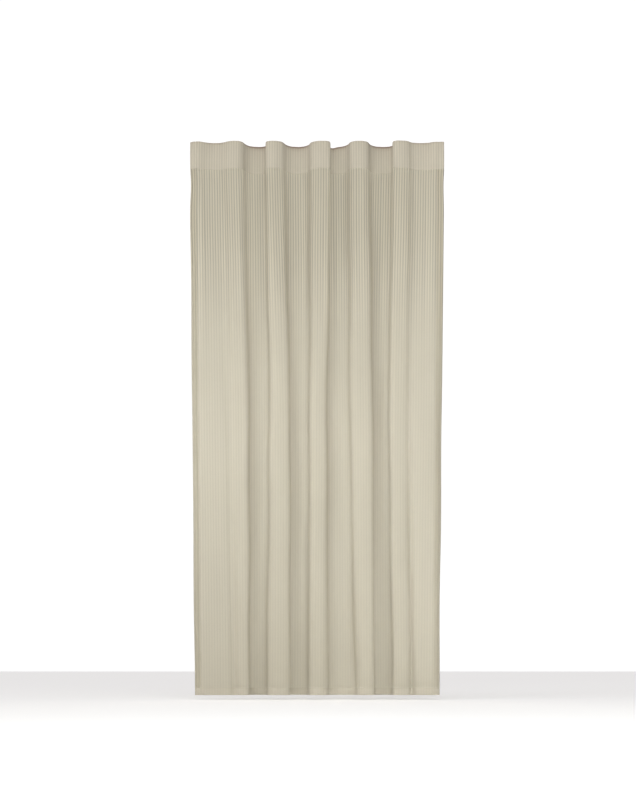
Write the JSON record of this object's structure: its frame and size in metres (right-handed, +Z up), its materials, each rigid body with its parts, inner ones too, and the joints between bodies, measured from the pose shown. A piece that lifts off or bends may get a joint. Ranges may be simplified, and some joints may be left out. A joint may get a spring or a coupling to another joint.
{
  "type": "room curtain panel",
  "caption": "Full-length woven fabric curtain panel hanging in soft vertical folds, with a deep stitched heading and concealed back loops that slide along a rod.",
  "frame": {"origin": "middle of the curtain rod's axis, where the back loops hang", "axes": "+Z up, +X along the rod to the right as seen from the room, front of the cloth facing -Y"},
  "size_m": [1.1606, 0.1125, 2.5],
  "materials": {
    "face_fabric": "woven, fine vertical ribs, semi-sheer",
    "backing_fabric": "the same cloth seen from its wrong side",
    "thread": "matt sewing thread",
    "label_fabric": "smooth woven tape, blank"
  },
  "bodies": {
    "curtain": {"face_cloth": "face_fabric", "heading_facing": "backing_fabric", "bottom_hem": "backing_fabric", "heading_stitching": "thread", "bottom_hem_stitching": "thread", "side_hem_left": "backing_fabric", "side_stitching_left": "thread", "care_label": "label_fabric"},
    "leading_edge": {"side_hem_right": "backing_fabric", "side_stitching_right": "thread"},
    "loop_1": {"rod_loop_1": "backing_fabric"},
    "loop_2": {"rod_loop_2": "backing_fabric"},
    "loop_3": {"rod_loop_3": "backing_fabric"},
    "loop_4": {"rod_loop_4": "backing_fabric"},
    "loop_5": {"rod_loop_5": "backing_fabric"},
    "loop_6": {"rod_loop_6": "backing_fabric"}
  },
  "joints": [
    {"name": "draw", "type": "slide", "parent": "curtain", "child": "leading_edge", "axis": [-1, 0, 0], "range_m": [0, 0.731], "deforming": ["face_cloth", "heading_facing", "bottom_hem", "heading_stitching", "bottom_hem_stitching"]},
    {"name": "loop_1_slide", "type": "slide", "parent": "curtain", "child": "loop_1", "axis": [-1, 0, 0], "range_m": [0, 0.0746]},
    {"name": "loop_2_slide", "type": "slide", "parent": "curtain", "child": "loop_2", "axis": [-1, 0, 0], "range_m": [0, 0.2035]},
    {"name": "loop_3_slide", "type": "slide", "parent": "curtain", "child": "loop_3", "axis": [-1, 0, 0], "range_m": [0, 0.3199]},
    {"name": "loop_4_slide", "type": "slide", "parent": "curtain", "child": "loop_4", "axis": [-1, 0, 0], "range_m": [0, 0.436]},
    {"name": "loop_5_slide", "type": "slide", "parent": "curtain", "child": "loop_5", "axis": [-1, 0, 0], "range_m": [0, 0.5757]},
    {"name": "loop_6_slide", "type": "slide", "parent": "curtain", "child": "loop_6", "axis": [-1, 0, 0], "range_m": [0, 0.6831]}
  ],
  "couplings": [
    {"joint": "loop_1_slide", "follows": "draw", "ratio": 0.10067},
    {"joint": "loop_2_slide", "follows": "draw", "ratio": 0.27696},
    {"joint": "loop_3_slide", "follows": "draw", "ratio": 0.43624},
    {"joint": "loop_4_slide", "follows": "draw", "ratio": 0.59501},
    {"joint": "loop_5_slide", "follows": "draw", "ratio": 0.78625},
    {"joint": "loop_6_slide", "follows": "draw", "ratio": 0.93317}
  ]
}
